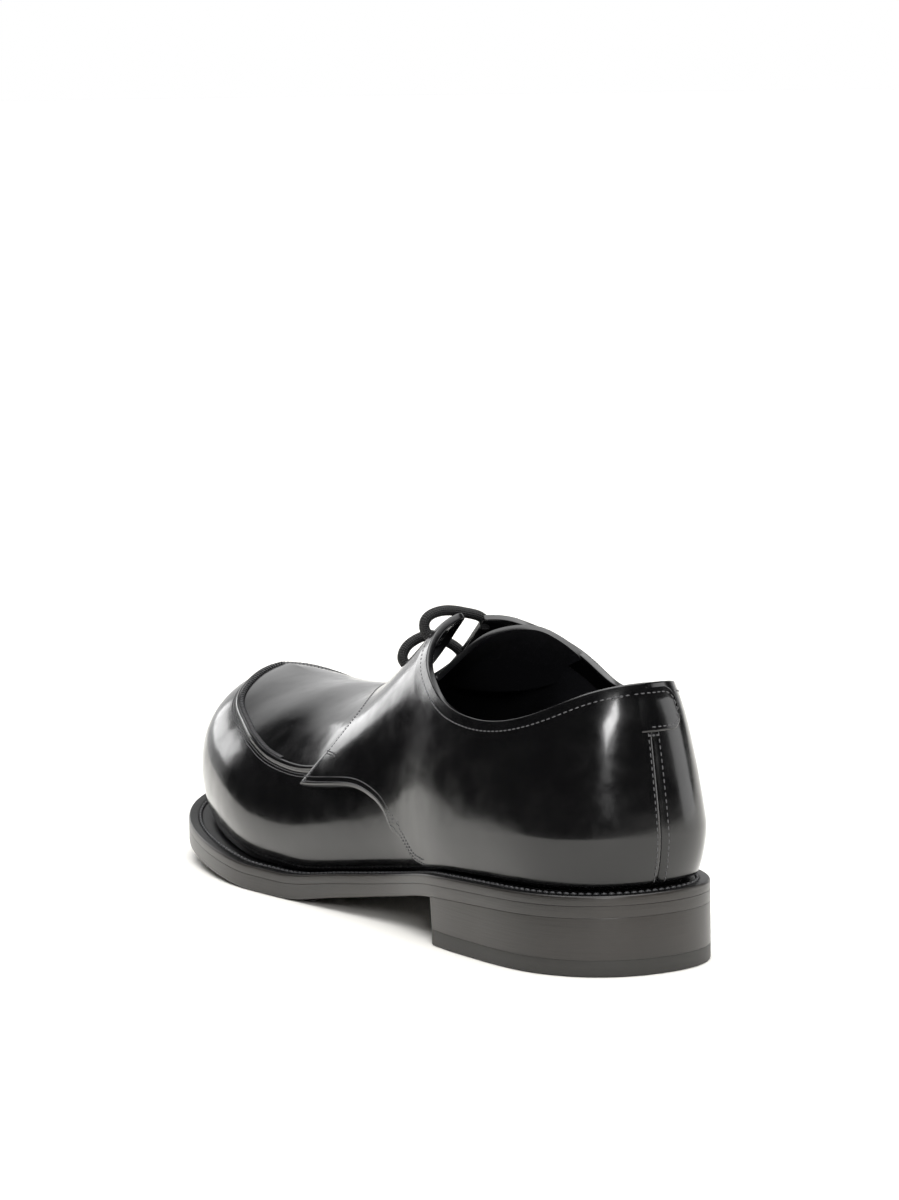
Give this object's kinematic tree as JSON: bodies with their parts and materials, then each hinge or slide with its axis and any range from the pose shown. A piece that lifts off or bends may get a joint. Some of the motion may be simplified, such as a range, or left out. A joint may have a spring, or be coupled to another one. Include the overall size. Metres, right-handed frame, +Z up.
{
  "type": "derby shoe",
  "caption": "Left derby shoe with an apron toe, open lacing, a whole-round welt and a stacked block heel, in black polished leather.",
  "frame": {"origin": "on the floor under the middle of the heel, 42 mm ahead of the back of the sole", "axes": "-Y points to the toe, +X to the outer (lateral) side of this left shoe, +Z up"},
  "size_m": [0.1123, 0.3022, 0.1164],
  "materials": {
    "upper_leather": "black, polished to a high gloss",
    "lining_leather": "black, dull",
    "sole_leather": "black edge ink, satin",
    "heel_rubber": "black, dull",
    "lace": "black waxed round cord"
  },
  "bodies": {
    "root": {"outsole": "sole_leather", "heel_stack": "sole_leather", "top_lift": "heel_rubber", "welt": "sole_leather", "insole": "lining_leather", "upper": "upper_leather", "quarter_lateral": "upper_leather", "quarter_medial": "upper_leather", "heel_tab": "upper_leather", "apron_ridge": "upper_leather", "tongue": "lining_leather", "lace_crossing_1": "lace", "lace_crossing_2": "lace"}
  },
  "joints": []
}
